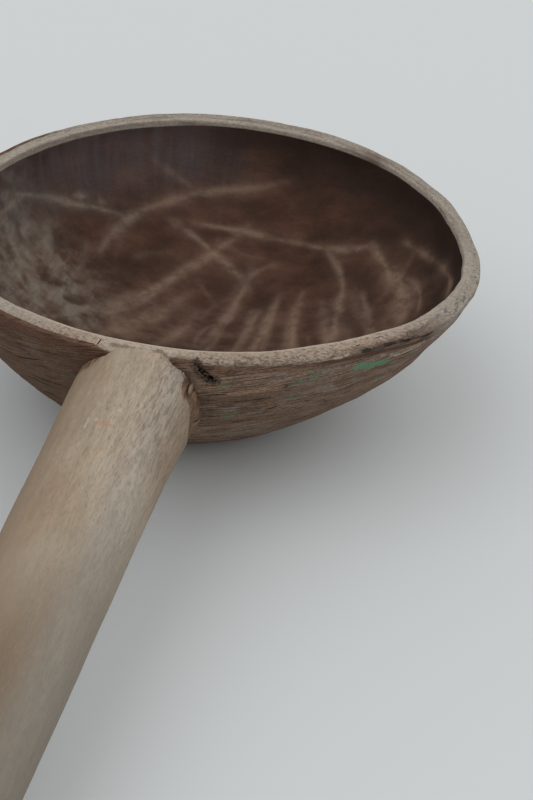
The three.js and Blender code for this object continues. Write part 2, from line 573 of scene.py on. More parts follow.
# flecks of old paint: degrees round from the handle, mm below the rim, half length, half height, strength
paintFlecks = (
    (45.8, 6.1, 2.8, 1.7, 1.0),
    (48.6, 6.9, 3.1, 2.0, 1.0),
    (51.6, 7.5, 2.5, 1.5, 0.95),
    (55, 9.4, 1.2, 0.8, 0.6),
    (46.5, 12, 1.6, 0.8, 0.4),
    (54, 16, 1.5, 0.8, 0.35),
    (36, 7.3, 1.2, 2.0, 0.72),
    (33.8, 8.7, 1.1, 1.0, 0.6),
    (34.5, 4.5, 0.9, 0.7, 0.6),
    (37.5, 5.5, 0.9, 0.7, 0.5),
    (34.7, 16.6, 2.2, 0.9, 0.6),
    (21.7, 24.3, 2.3, 1.4, 0.6),
    (18.3, 8.0, 2.0, 1.0, 0.5),
    (18, 34, 1.6, 0.7, 0.35),
    (29, 29.5, 1.6, 0.6, 0.35),
)
# pale slivers lifted along the outer edge of the rim, listed the same way
sliverFlecks = (
    (39.2, 0.6, 1.6, 0.45, 0.8),
    (41.2, 0.4, 0.9, 0.35, 0.6),
    (48.1, 0.3, 0.6, 0.4, 0.9),
    (50.3, 4.0, 1.2, 0.45, 0.6),
    (52.6, 4.7, 0.8, 0.4, 0.7),
    (60.6, 4.0, 0.6, 0.5, 0.8),
    (63.6, 4.8, 0.9, 0.45, 0.6),
)


def fleckMask(tree, place, flecks):
    masks = []
    for degrees, depth, halfLength, halfHeight, strength in flecks:
        half = (halfLength * mm, halfLength * mm, halfHeight * mm)
        mask = fleck(tree, place, onWall(degrees, depth * mm), half, 2.6 - 1.4 * strength)
        masks.append(calc(tree, "MULTIPLY", mask, strength))
    return strongest(tree, masks)


# torn brown marks where the handle runs over the rim: their middles (mm)
tornMarks = ((76.2, 3.6, 58), (75.6, 12.5, 58), (76.2, 0.9, 58))


def tornMask(tree, place):
    half = (1.1 * mm, 2.0 * mm, 1.2 * mm)
    return strongest(tree, [fleck(tree, place, [c * mm for c in mark], half, 2.6) for mark in tornMarks])


def wallFinish(tree, look, at):
    grain = at["grain"]
    wall = blend(tree, fade(tree, grain["Bands"], 0.28, 0.7), look["wallDark"], look["wall"])
    wall = blend(tree, fade(tree, at["patches"], 0.5, 0.66, 0.0, 0.7), wall, look["wallGrey"])
    wall = blend(tree, fade(tree, at["blots"], 0.6, 0.72, 0.0, 0.6), wall, look["wallOchre"])
    wall = blend(tree, fade(tree, at["height"], 53 * mm, 56 * mm, 0.0, 0.7), wall, look["underRim"])
    leftSide = readMask(tree, "leftSide")
    # the grain stands out less on the left
    for noise, low, high, dark, darkLeft, light, lightLeft in (
        (grain["Fibres"], 0.25, 0.75, 0.76, 0.9, 1.22, 1.08),
        (at["fine"], 0.3, 0.7, 0.66, 0.8, 1.36, 1.2),
    ):
        darkest = fade(tree, leftSide, 0, 1, dark, darkLeft)
        lightest = fade(tree, leftSide, 0, 1, light, lightLeft)
        wall = shade(tree, wall, fade(tree, noise, low, high, darkest, lightest))
    # dirt and painted shade darken the wall in the corner beside the handle
    wall = blend(tree, multiply(tree, readMask(tree, "byJoint"), 0.75), wall, look["jointDirtAndShade"])
    for lines, strength, strengthLeft in ((at["lines"], 0.75, 0.35), (grain["Checks"], 1.0, 0.5)):
        drawn = multiply(tree, lines, fade(tree, leftSide, 0, 1, strength, strengthLeft))
        wall = blend(tree, drawn, wall, look["wallLine"])
    # painted shade and light: the left side of the wall darker, a stretch right of the handle lighter
    wall = shade(tree, wall, readMask(tree, "wallLight"))
    wall = blend(tree, leftSide, wall, look["leftTint"], "MULTIPLY")
    paint = fleckMask(tree, at["place"], paintFlecks)
    paint = multiply(tree, paint, fade(tree, at["grit"], 0.5, 0.64, 1.0, 0.4))
    paint = multiply(tree, paint, fade(tree, at["fine"], 0.5, 0.66, 1.0, 0.5))
    wall = blend(tree, paint, wall, look["paint"])
    return blend(tree, readMask(tree, "splinter"), wall, look["sliverAndHighlight"])


def rimFinish(tree, look, at):
    fromHollow = calc(tree, "SUBTRACT", at["reach"], hollowRadius)
    byHandle = readMask(tree, "byHandle")
    broken = readMask(tree, "brokenRim")
    rim = blend(tree, fade(tree, at["patches"], 0.36, 0.5), look["rimGrey"], look["rim"])
    rim = blend(tree, fade(tree, at["blots"], 0.5, 0.64, 0.0, 0.8), rim, look["rimPink"])
    rim = blend(tree, multiply(tree, readMask(tree, "greyRim"), 0.7), rim, look["rimSilver"])
    rim = blend(tree, multiply(tree, byHandle, 0.75), rim, look["rimPale"])
    rim = blend(tree, fade(tree, fromHollow, 1.6 * mm, 0.4 * mm, 0.0, 0.5), rim, look["rimPale"])
    rim = shade(tree, rim, fade(tree, at["grit"], 0.3, 0.7, 0.8, 1.18))
    rim = shade(tree, rim, fade(tree, fromHollow, 2.5 * mm, 6.2 * mm, 1.03, 0.97))
    specks = cloud(tree, at["place"], (0.75 * mm, 1.1 * mm, 0.6 * mm), 3, 0.7)
    specks = calc(tree, "ADD", specks, fade(tree, fromHollow, 2 * mm, 5.4 * mm, 0.0, 0.05))
    specks = multiply(tree, fade(tree, specks, 0.52, 0.62), fade(tree, byHandle, 0.0, 1.0, 0.75, 0.35))
    specks = multiply(tree, specks, fade(tree, readMask(tree, "greyRim"), 0.0, 1.0, 1.0, 0.35))
    rim = blend(tree, specks, rim, look["rimSpeck"])
    rim = blend(tree, multiply(tree, tornMask(tree, at["place"]), 0.6), rim, look["rimTorn"])
    ragged = jitter(tree, jitter(tree, fromHollow, at["grit"], 5 * mm), at["blots"], 4 * mm)
    torn = fade(tree, ragged, 3.9 * mm, 5.1 * mm)
    mottle = cloud(tree, at["place"], (2 * mm, 2.4 * mm, 1.5 * mm), 3, 0.65)
    mottle = multiply(tree, fade(tree, mottle, 0.48, 0.6, 0.0, 0.5), broken)
    mottle = multiply(tree, mottle, fade(tree, fromHollow, 1.8 * mm, 4 * mm))
    rim = blend(tree, mottle, rim, look["rimSpeck"])
    tornWood = shade(tree, look["rimTorn"], fade(tree, at["fine"], 0.3, 0.7, 0.55, 1.6))
    rim = blend(tree, multiply(tree, torn, broken, 0.8), rim, tornWood)
    smears = fade(tree, cloud(tree, at["round"], (3.2 * mm, 1.5 * mm, 2.2 * mm), 3, 0.65), 0.56, 0.64)
    rim = blend(tree, multiply(tree, smears, readMask(tree, "smeared"), 0.7), rim, look["rimSmear"])
    gaps = fade(tree, cloud(tree, at["round"], (3 * mm, 9 * mm, 9 * mm), 2), 0.36, 0.52, 0.6, 0.95)
    streak = fade(tree, jitter(tree, readMask(tree, "streak"), at["grit"], 1.5), 0.25, 0.58)
    streak = multiply(tree, streak, gaps)
    rim = blend(tree, streak, rim, look["rimStain"])
    streaks = fade(tree, cloud(tree, at["round"], (16 * mm, 1.5 * mm, 4 * mm), 3, 0.6), 0.5, 0.62)
    rim = blend(tree, multiply(tree, streaks, readMask(tree, "farRim"), 0.55), rim, look["rimDirt"])
    # painted shade of a notch at the far inner edge of the rim, with a brown stain: the rim darker there
    rim = blend(tree, multiply(tree, readMask(tree, "notchShadeAndStain"), 0.75), rim, look["rimTorn"])
    # painted highlight: a thin pale line along the inner edge of the rim on the near side, broken up by noise
    patchy = fade(tree, at["grit"], 0.34, 0.56, 0.85, 0.35)
    return blend(tree, multiply(tree, readMask(tree, "innerEdgeHighlight"), patchy), rim, look["sliverAndHighlight"])


def hollowFinish(tree, look, at):
    cloudy = cloud(tree, at["place"], (6 * mm, 15 * mm, 6 * mm), 3, 0.6)
    hollow = blend(tree, fade(tree, at["patches"], 0.35, 0.65), look["hollowDark"], look["hollow"])
    hollow = shade(tree, hollow, fade(tree, cloudy, 0.3, 0.7, 0.8, 1.2))
    washed = multiply(tree, readMask(tree, "wash"), fade(tree, cloudy, 0.44, 0.64, 0.0, 0.4))
    hollow = blend(tree, washed, hollow, look["wash"])
    # painted reflection: a blue-grey sheen in upright streaks on the far-left inner wall, below the rim
    upright = cloud(tree, at["round"], (3.5 * mm, 30 * mm, 30 * mm), 2)
    sheenStreaks = fade(tree, upright, 0.25, 0.75, 0.3, 0.68)
    hollow = blend(tree, multiply(tree, readMask(tree, "paintedSheen"), sheenStreaks), hollow, look["paintedSheen"])
    # much darker high up the right and far inner wall
    hollow = blend(tree, multiply(tree, readMask(tree, "darkUpperHollow"), 0.85), hollow, look["hollowDarkest"])
    runs = cloud(tree, at["place"], (5 * mm, 5 * mm, 6 * mm), 3, 0.5)
    swept = cloud(tree, at["place"], (11 * mm, 2.6 * mm, 11 * mm), 2)
    film = multiply(tree, readMask(tree, "dust"), fade(tree, runs, 0.36, 0.62, 0.15, 1.0),
                    fade(tree, swept, 0.32, 0.66, 0.4, 1.0))
    hollow = blend(tree, film, hollow, look["dust"])
    smudge = fade(tree, at["blots"], 0.3, 0.62, 0.4, 1.0)
    rubbed = blend(tree, fade(tree, at["side"], -22 * mm, -46 * mm), look["scuff"], look["greyScuff"])
    hollow = blend(tree, multiply(tree, readMask(tree, "scuff"), smudge), hollow, rubbed)
    return shade(tree, hollow, fade(tree, at["grit"], 0.3, 0.7, 0.92, 1.08))


rimFloor = bowlShape["height"] - 1.4 * mm    # where the rim's own finish starts


def makeBowlWood(look):
    material, tree, surface = newMaterial("bowlWood", 0.88, 0.12)
    place = objectPlace(tree)
    laid = separate(tree, turned(tree, place, (bowlGrainClimb, 0, 0)))
    side, height = separate(tree, place)[1:]
    along = combine(tree, laid[1], laid[2], multiply(tree, laid[0], 0.12))
    reach = readMask(tree, "reach")
    inside = readMask(tree, "inside")
    at = {
        "place": place,
        "side": side,
        "height": height,
        "reach": reach,
        "round": combine(tree, readMask(tree, "round"), reach, height),
        "grain": fillGroup(tree, grainGroup, {"Vector": along}),
        "lines": fade(tree, cloud(tree, along, (7 * mm, 0.36 * mm, 1.6 * mm), 2), 0.56, 0.64),
        "patches": cloud(tree, place, (14 * mm, 14 * mm, 8 * mm), 3),
        "blots": cloud(tree, place, (5 * mm, 7 * mm, 3 * mm), 3, 0.6),
        "grit": cloud(tree, place, (1.0 * mm, 1.2 * mm, 0.7 * mm), 4, 0.7),
        "fine": cloud(tree, place, (0.7 * mm, 0.9 * mm, 0.45 * mm), 3, 0.7),
    }
    colour = blend(tree, inside, wallFinish(tree, look, at), hollowFinish(tree, look, at))
    wander = multiply(tree, calc(tree, "SUBTRACT", 1.0, inside), 1.2 * mm)
    rimEdge = calc(tree, "ADD", jitter(tree, height, at["blots"], wander), readMask(tree, "rimDrop"))
    paleReach = calc(tree, "ADD", reach, readMask(tree, "darkEdge"))
    outerEdge = bowlShape["rimRadius"]
    flat = multiply(tree, fade(tree, paleReach, outerEdge - 0.2 * mm, outerEdge - 0.9 * mm, 0.0, 1.2 * mm),
                    fade(tree, reach, hollowRadius + 0.2 * mm, hollowRadius + 1 * mm))
    rimShare = fade(tree, calc(tree, "ADD", rimEdge, flat), rimFloor, rimFloor + 0.55 * mm)
    colour = blend(tree, rimShare, colour, rimFinish(tree, look, at))
    # dark red-brown wood and a painted shadow line, in a band on the wall just below the rim's edge on the
    # right
    shadowBand = fade(tree, jitter(tree, readMask(tree, "redShadowBand"), at["fine"], 1.6), 0.3, 0.7, 0.0, 0.85)
    colour = blend(tree, shadowBand, colour, look["redShadowBand"])
    patchy = fade(tree, at["fine"], 0.4, 0.6, 0.9, 0.5)
    slivers = multiply(tree, fleckMask(tree, place, sliverFlecks), patchy)
    colour = blend(tree, slivers, colour, look["sliverAndHighlight"])
    soiled = jitter(tree, readMask(tree, "dirt"), at["grit"], 2.0)
    crumbs = blend(tree, fade(tree, at["fine"], 0.4, 0.6), look["soil"], look["dirt"])
    colour = blend(tree, fade(tree, soiled, 0.3, 0.65, 0.0, 0.92), colour, crumbs)
    feed(tree, surface["Base Color"], colour)
    feed(tree, surface["Roughness"], fade(tree, inside, 0, 1, 0.88, 0.75))
    relief = calc(tree, "ADD", at["grain"]["Height"], multiply(tree, at["grit"], 0.6))
    relief = calc(tree, "SUBTRACT", relief, at["lines"])
    feed(tree, surface["Normal"], bumped(tree, relief, fade(tree, inside, 0, 1, 0.8, 0.15), 0.35 * mm))
    return material


handleColours = {
    "pale": (0.365, 0.3, 0.225),
    "tan": (0.335, 0.255, 0.18),
    "grey": (0.33, 0.298, 0.25),
    "worn": (0.232, 0.16, 0.104),
    "dash": (0.21, 0.152, 0.112),
    "light": (0.43, 0.375, 0.305),
    "brown": (0.12, 0.074, 0.048),
    "orange": (0.25, 0.152, 0.092),
    "rust": (0.37, 0.215, 0.12),
    "fibre": (0.18, 0.145, 0.115),
    "ring": (0.2, 0.15, 0.11),
    "soiled": (0.1, 0.062, 0.044),
}


# small rusty spots and pale scrapes on the handle: middle and half sizes (mm), colour, strength
handleSpots = (
    ((105.5, 7.3, 54), (1.0, 2.1, 2), "rust", 0.6),
    ((114.5, 8.8, 52.5), (1.2, 0.8, 2), "rust", 0.3),
    ((106, 3.1, 53.7), (3.0, 0.45, 2), "light", 0.5),
    ((104.7, 5, 54), (0.7, 0.6, 2), "light", 0.6),
    ((99.6, 9.6, 54.6), (0.7, 0.6, 2), "light", 0.7),
    ((113.7, 3.6, 52.6), (1.4, 0.4, 2), "light", 0.35),
)


# Where the wood is browner: round the sides and underneath, and where a hand has held it.
def wornMask(tree, out, side, up, noise):
    left = fade(tree, side, 8 * mm, -8 * mm, 0.0, 0.82)
    right = fade(tree, side, 18 * mm, 22.5 * mm)
    right = multiply(tree, right, fade(tree, out, 90 * mm, 118 * mm, 0.8, 0.25))
    below = fade(tree, up, 48 * mm, 40 * mm, 0.0, 0.85)
    palm = multiply(tree, fade(tree, out, 130 * mm, 178 * mm), fade(tree, out, 240 * mm, 212 * mm))
    palm = multiply(tree, palm, fade(tree, side, 18 * mm, 8 * mm))
    total = strongest(tree, [left, right, below, palm])
    return multiply(tree, total, fade(tree, noise, 0.3, 0.6, 0.75, 1.0))


ringWidth = 1.496 * mm    # one year's growth, seen in the sawn ends


def makeHandleWood(look):
    material, tree, surface = newMaterial("handleWood", 0.88, 0.15)
    place = objectPlace(tree)
    along = turned(tree, place, (0, handleSlope, 0))
    grain = fillGroup(tree, grainGroup, {"Vector": along})
    out, side, up = separate(tree, along)
    patches = cloud(tree, along, (30 * mm, 12 * mm, 12 * mm), 3)
    felt = cloud(tree, along, (1.9 * mm, 0.38 * mm, 0.38 * mm), 3, 0.65)
    fuzz = cloud(tree, along, (8 * mm, 1.6 * mm, 1.6 * mm), 4, 0.65)
    wood = blend(tree, fade(tree, patches, 0.4, 0.65), look["pale"], look["tan"])
    wood = blend(tree, fade(tree, side, 8 * mm, 19 * mm, 0.0, 0.75), wood, look["grey"])
    wood = blend(tree, fade(tree, out, 125 * mm, 190 * mm, 0.0, 0.6), wood, look["grey"])
    wood = blend(tree, wornMask(tree, out, side, up, fuzz), wood, look["worn"])
    # painted shade and light: the right side lighter near the shoulder and darker towards the butt, the left
    # side a little darker from the shoulder to the middle
    rightSide = fade(tree, side, 4 * mm, 14 * mm)
    shadowed = multiply(tree, rightSide, fade(tree, out, 112 * mm, 150 * mm, -0.06, 0.12))
    wood = shade(tree, wood, calc(tree, "SUBTRACT", 1.0, shadowed))
    leftShade = fade(tree, out, 112 * mm, 165 * mm, 0.93, 1.0)
    wood = shade(tree, wood, fade(tree, side, 5 * mm, 13 * mm, leftShade, 1.0))
    smooth = fade(tree, out, 95 * mm, 155 * mm, 1.0, 0.4)
    marked = blend(tree, fade(tree, felt, 0.5, 0.7, 0.0, 0.75), wood, look["dash"])
    marked = blend(tree, fade(tree, felt, 0.45, 0.3, 0.0, 0.45), marked, look["light"])
    wood = blend(tree, multiply(tree, smooth, fade(tree, side, -6 * mm, 14 * mm, 0.45, 1.0)), wood, marked)
    wood = blend(tree, smooth, wood, shade(tree, wood, fade(tree, fuzz, 0.3, 0.7, 0.86, 1.12)))
    split = cloud(tree, along, (4.5 * mm, 0.75 * mm, 0.75 * mm), 3, 0.6)
    split = multiply(tree, fade(tree, split, 0.5, 0.62, 0.0, 0.65), fade(tree, side, 10 * mm, 17 * mm))
    wood = blend(tree, multiply(tree, split, fade(tree, out, 112 * mm, 92 * mm)), wood, look["fibre"])
    for centre, half, colour, strength in handleSpots:
        mark = fleck(tree, place, [c * mm for c in centre], [h * mm for h in half], 2.2)
        wood = blend(tree, multiply(tree, mark, strength), wood, look[colour])
    wood = blend(tree, multiply(tree, tornMask(tree, place), 0.5), wood, look["orange"])
    wood = shade(tree, wood, fade(tree, out, 100 * mm, 230 * mm, 1.0, 0.7))
    # brown wood split open round the shoulder
    cut = blend(tree, fade(tree, fuzz, 0.45, 0.65), look["brown"], look["orange"])
    cut = shade(tree, cut, fade(tree, felt, 0.3, 0.7, 1.2, 0.8))
    splitOpen = jitter(tree, readMask(tree, "brownEdge"), felt, 3.0)
    wood = blend(tree, fade(tree, splitOpen, -1.2, 0.9), wood, cut)
    wood = blend(tree, multiply(tree, readMask(tree, "flake"), 0.75), wood, shade(tree, look["tan"], 0.85))
    # end grain of the butt and of the tenon
    rings = calc(tree, "ADD", readMask(tree, "fromAxis"), multiply(tree, patches, 6 * mm))
    rings = calc(tree, "SINE", multiply(tree, rings, 2 * math.pi / ringWidth))
    sawn = blend(tree, fade(tree, rings, -0.4, 1.0, 0.2, 0.8), look["grey"], look["ring"])
    sawn = blend(tree, multiply(tree, readMask(tree, "inWall"), 0.85), sawn, look["soiled"])
    wood = blend(tree, readMask(tree, "endGrain"), wood, sawn)
    feed(tree, surface["Base Color"], wood)
    relief = calc(tree, "SUBTRACT", multiply(tree, grain["Fibres"], 0.5), felt)
    feed(tree, surface["Normal"], bumped(tree, relief, multiply(tree, smooth, 0.6), 0.3 * mm))
    return material


wedgeColours = {
    "dark": (0.2, 0.14, 0.1),
    "pale": (0.34, 0.26, 0.19),
}


def makeWedgeWood(look):
    material, tree, surface = newMaterial("wedgeWood", 0.85)
    grain = fillGroup(tree, grainGroup, {"Vector": turned(tree, objectPlace(tree), (0, handleSlope, 0))})
    feed(tree, surface["Base Color"], blend(tree, grain["Fibres"], look["dark"], look["pale"]))
    feed(tree, surface["Normal"], bumped(tree, grain["Height"], 0.5, 0.3 * mm))
    return material


bowlWood = makeBowlWood(bowlColours)
handleWood = makeHandleWood(handleColours)
wedgeWood = makeWedgeWood(wedgeColours)
print("finishes ready")


# shaping the bowl

# The wall is thinner on one side and not quite round. Its outer edge is worn back beside the handle, and torn
# farther round.
def wearRim(bowl, shape):
    places = getPlaces(bowl)
    angle, depth, reach, inside = readBowl(places)
    degrees = np.degrees(angle)
    thin = thinShare(degrees) * thinFade(depth)
    thin *= inside * (1 - ease(hollowRadius + 0.6 * mm, hollowRadius + 3.2 * mm, reach))
    outer = ease(shape["rimRadius"] - 4 * mm, shape["rimRadius"] - 0.7 * mm, reach)
    worn = uneven("wornEdge", degrees) * (1 - ease(0.3 * mm, 5 * mm, depth)) * outer
    torn = uneven("tornEdge", degrees) * (1 - ease(0.2 * mm, 2 * mm, depth)) * outer
    torn *= 0.65 + 0.35 * np.sin(degrees * 1.9) * np.sin(degrees * 0.7)
    move = shape["thinnerSide"] * thin - shape["wornEdge"] * worn - 0.6 * shape["tornEdge"] * torn
    compass = degrees % 360
    move += outOfRound(compass, depth) + bellyOut(compass, depth) * (1 - inside)
    places[:, 0] += move * np.cos(angle)
    places[:, 1] += move * np.sin(angle)
    places[:, 2] -= shape["tornEdge"] * torn
    setPlaces(bowl, places)


# drying cracks in the wall, each from one place to another: degrees round from the handle, mm below the rim
wallChecks = (
    ((15.5, 32.5), (22.5, 31)),
    ((23.5, 29.5), (30, 27)),
    ((17, 36.5), (26, 35)),
    ((14, 13.5), (19.5, 12.5)),
    ((20.5, 16.5), (30, 15)),
    ((37.5, 16.5), (40.5, 15.5)),
    ((29.5, 22), (32.5, 19.5)),
    ((55, 7), (60, 5.7)),
    ((-28.5, 16), (-19, 11.5)),
    ((-26.5, 23), (-17, 21.5)),
)
# splits in the flat of the rim: degrees round, mm from the middle
rimSplits = (
    ((49, 80), (55, 80.1)),
    ((54, 79.9), (59, 80.3)),
    ((49, 76), (51.5, 76)),
    ((44, 77.3), (45.5, 77)),
    ((63, 80), (65, 80)),
    ((-11.4, 79.6), (-7.4, 78.9)),
    ((-7.3, 79.4), (-7.6, 75.6)),
)
# a raised splinter, a gash, and a stain with painted shade beside the joint, given as the drying cracks are
splinter = ((53.2, 5.5), (59.6, 4.3))
gash = ((11.2, 0.4), (15.9, 7.0))
jointStainAndShade = ((8.5, 0), (11, 10))


def gashCuts():
    cuts = [
        wallLens((12.6, 2.1), (14.6, 4.7), 1.5, 2.2, 0.3),
        wallLens((14.1, 4.2), (16.3, 7.2), 1.3, 2.0, 0.3),
        wallLens((10.9, 0.1), (12.0, 1.7), 0.6, 1.2, 0.3),
    ]
    for share in np.linspace(0.1, 1, 9):
        degrees = gash[0][0] + (gash[1][0] - gash[0][0]) * share + chance.uniform(-0.8, 0.9)
        depth = gash[0][1] + (gash[1][1] - gash[0][1]) * share + chance.uniform(-1.2, 1.0)
        drop = chance.uniform(-0.2, 0.7)
        start = (degrees - chance.uniform(0.2, 0.45), depth - drop)
        end = (degrees + chance.uniform(0.2, 0.45), depth + drop)
        cuts.append(wallLens(start, end, chance.uniform(0.4, 0.8), chance.uniform(0.6, 1.4), 0.4))
    return cuts


def seededChecks(count):
    cuts = []
    for _ in range(count):
        degrees = chance.uniform(50, 335)
        start = chance.uniform(6, 40)
        length = chance.uniform(4, 15)
        climb = chance.uniform(-0.6, 1.4)
        end = (degrees + length, start - climb)
        cuts.append(wallLens((degrees, start), end, chance.uniform(0.3, 0.55), 1.2))
    return cuts


def boreMortise(bowl, shape):
    bpy.ops.mesh.primitive_cylinder_add(vertices=64, radius=shape["mortiseRadius"], depth=shape["boreLength"])
    bore = bpy.context.object
    middle = buttCentre - handleAxis * shape["boreFromButt"]
    turn = handleAxis.to_track_quat("Z", "Y").to_matrix().to_4x4()
    bore.data.transform(Matrix.Translation(middle) @ turn)
    carve(bowl, [bore], crackShadeWood)


def makeBowl(shape):
    bowl = turnBowl(shape)
    bowl.data.materials.append(bowlWood)
    wearRim(bowl, shape)
    angle, depth, _, inside = readBowl(getPlaces(bowl))
    byHandle = (1 - ease(15, 24, np.degrees(abs(angle)))) * (1 - ease(5 * mm, 12 * mm, depth))
    free = (1 - ease(shape["height"] - 3 * mm, shape["height"], depth)) * (1 - byHandle)
    shaped = addWeights(bowl, "shaped", free)
    wall = addWeights(bowl, "wall", free * (1 - 0.75 * inside) * ease(0, 1.5 * mm, depth))
    nearRim = addWeights(bowl, "nearRim", free * (1 - ease(1 * mm, 5 * mm, depth)))
    for name, size, climb, group in (
        ("hewing", (24, 30, 18), 0, shaped),
        ("grainRelief", (12, 22, 1.5), bowlGrainClimb, wall),
        ("rimWear", (5, 8, 5), 0, nearRim),
    ):
        roughen(bowl, name, size, shape[name], (climb, 0, 0), group)
    boreMortise(bowl, shape)
    carve(bowl, [wallLens(*splinter, 0.8, 0.5)], bowlWood, "UNION")
    cuts = [wallLens(*check, 0.4, 1.4) for check in wallChecks]
    cuts += [rimLens(*split, 0.35, 0.8, 0.3) for split in rimSplits]
    carve(bowl, cuts + gashCuts() + seededChecks(shape["smallChecks"]), crackShadeWood)
    return bowl


bowl = makeBowl(bowlShape)
print("bowl shaped:", len(bowl.data.polygons), "faces")


# scuffs worn pale in the hollow: start, bend and end in plan (mm), width (mm), strength

scuffs = (
    ((-30, -38), (-48, -32), (-60, -18), 2.1, 0.65),
    ((-57, -23), (-65, -8), (-69, 16), 2.0, 0.65),
    ((-8, -29), (-33, -14), (-58, 6), 2.0, 0.8),
    ((-53, -20), (-49, -6), (-38, 11), 1.6, 0.75),
    ((-38, 11), (-25, 9), (-4, 4), 2.0, 0.7),
    ((-38, 11), (-43, 14), (-45, 20), 1.5, 0.5),
    ((-55, -12), (-56, 6), (-52, 26), 1.4, 0.75),
    ((-53, 24), (-47, 40), (-45, 50), 1.4, 0.75),
    ((-45, 50), (-34, 57), (-22, 63), 1.6, 0.9),
    ((-32, 58), (-17, 65), (-2, 66), 4.2, 1.0),
    ((-25, 65), (-15, 70), (-4, 71), 1.2, 0.7),
    ((-40, 61), (-30, 69), (-20, 75), 1.4, 0.7),
    ((-20, 75), (-9, 79), (2, 79), 1.6, 0.85),
    ((-27, 51), (-19, 54), (-10, 57), 1.7, 0.6),
    ((-48, 35), (-36, 43), (-24, 44), 1.5, 0.7),
    ((-28, 45), (-15, 45), (-3, 46), 2.3, 0.9),
    ((-33, 31), (-20, 31), (-3, 35), 1.8, 0.8),
    ((-28, 22), (-16, 22), (-4, 20), 1.8, 0.7),
    ((-16, -64), (-33, -54), (-46, -36), 1.4, 0.7),
    ((-8, -64), (-15, -63), (-23, -61), 1.4, 0.7),
    ((-39, -50), (-41, -48), (-42, -47), 1.5, 0.7),
    ((-44, -43), (-45, -42), (-46, -41), 1.5, 0.55),
    ((-63, -33), (-64, -25), (-64, -16), 1.4, 0.3),
    ((-14, -58), (-23, -53), (-9, -54), 2.2, 0.45),
    ((-17, -11), (-9, -19), (-1, -25), 2.2, 0.6),
)
fanCentre = np.array((-90, 22))


# Fainter rubbing: rays that fan out towards the handle, dusty strokes on the left, and scratches anywhere.
def seededScuffs():
    strokes = []
    for target in np.linspace(-48, 62, 26):
        end = np.array((chance.uniform(-6, 6), target + chance.uniform(-3, 3)))
        start = end + (fanCentre - end) * chance.uniform(0.12, 0.34)
        bend = (start + end) / 2 + chance.uniform(-1.2, 1.2)
        strokes.append((start, bend, end, chance.uniform(1.0, 2.2), chance.uniform(0.25, 0.65)))
    for _ in range(16):
        start = np.array((chance.uniform(-22, 12), chance.uniform(-64, -52)))
        end = start + (chance.uniform(-3, 10), chance.uniform(5, 16))
        strokes.append((start, (start + end) / 2, end, chance.uniform(0.9, 1.8), chance.uniform(0.2, 0.5)))
    for _ in range(44):
        angle = chance.uniform(0, 2 * math.pi)
        start = np.array((math.cos(angle), math.sin(angle))) * chance.uniform(10, 62)
        turn = chance.choice((0.35, 1.3, 2.2)) + chance.uniform(-0.4, 0.4)
        end = start + np.array((math.cos(turn), math.sin(turn))) * chance.uniform(6, 24)
        bend = (start + end) / 2 + chance.uniform(-1.5, 1.5)
        strokes.append((start, bend, end, chance.uniform(1.2, 1.8), chance.uniform(0.08, 0.22)))
    return strokes


# The depth of the hollow's surface below the rim, over a place in plan.
def hollowDepthAt(place):
    depth = np.zeros(len(place))
    for _ in range(8):
        offset = place[:, 1] - sectionCentre(depth)
        angle = np.arctan2(offset, place[:, 0])
        reach = np.hypot(place[:, 0], offset) / outlineShare(angle)
        reach -= bowlShape["thinnerSide"] * thinShare(np.degrees(angle)) * thinFade(depth)
        share = np.clip(reach / hollowRadius, 0, 1) ** bowlShape["hollowFullness"]
        depth = hollowDepth * (1 - share) ** (1 / bowlShape["hollowFullness"])
    return depth


# How far each place is from a line of points, and how far along the line its nearest point is, from 0 to 1.
def nearLine(places, line):
    nearest = np.full(len(places), 1.0)
    along = np.zeros(len(places))
    count = len(line) - 1
    for index in range(count):
        step = line[index + 1] - line[index]
        share = np.clip((places - line[index]) @ step / (step @ step), 0, 1)
        away = np.linalg.norm(places - line[index] - share[:, None] * step, axis=1)
        along = np.where(away < nearest, (index + share) / count, along)
        nearest = np.minimum(nearest, away)
    return nearest, along


def scuffStrength(places):
    total = np.zeros(len(places))
    shares = np.linspace(0, 1, 9)[:, None]
    for start, bend, end, width, strength in list(scuffs) + seededScuffs():
        start, bend, end = np.array(start), np.array(bend), np.array(end)
        control = 2 * bend - (start + end) / 2
        flat = ((1 - shares) ** 2 * start + 2 * shares * (1 - shares) * control + shares ** 2 * end) * mm
        line = np.column_stack((flat, bowlShape["height"] - hollowDepthAt(flat)))
        away, along = nearLine(places, line)
        swell = 0.75 + 0.25 * np.sin(along * 9 + width * 20)
        away = away / (width * mm * swell)
        tapered = strength * (1 - abs(2 * along - 1) ** 4 * 0.6)
        stroke = tapered * (0.8 * np.exp(-away * away) + 0.2 * np.exp(-away * away / 7))
        total = total + stroke * (1 - total)
    return total


# where each mark lies, in degrees round from the handle: starts, is full, starts to fade, ends
markSides = {
    "darkUpperHollow": (50, 95, 165, 215),
    "paintedSheen": (170, 205, 255, 285),
    "brokenRim": (36, 46, 58, 70),
    "rolledEdge": (57, 63, 82, 96),
    "byHandle": (-14, -6, 8, 16),
    "leftEdge": (-150, -115, -10, -4),
    "farInside": (78, 92, 190, 208),
    "byGash": (4, 7, 11, 14),
    "streak": (41, 47, 60, 64),
    "redShadowBand": (30, 39, 59, 66),
    "smeared": (50, 62, 88, 112),
    "farRim": (85, 120, 225, 255),
    "greyRim": (45, 70, 328, 350),
    "innerEdgeHighlight": (-40, -15, 50, 68),
    "leftSide": (-175, -110, -14, 10),
    "lighterByHandle": (6, 13, 24, 38),
}
notchDegrees = 149.5
# dirt, painted shade and slivers along a line on the wall: its ends, and its half width in mm
wallLines = {
    "dirt": (gash, 2.1),
    "byJoint": (jointStainAndShade, 2.4),
    "splinter": (splinter, 0.55),
}


def markAt(name, degrees):
    return span(degrees, *markSides[name])


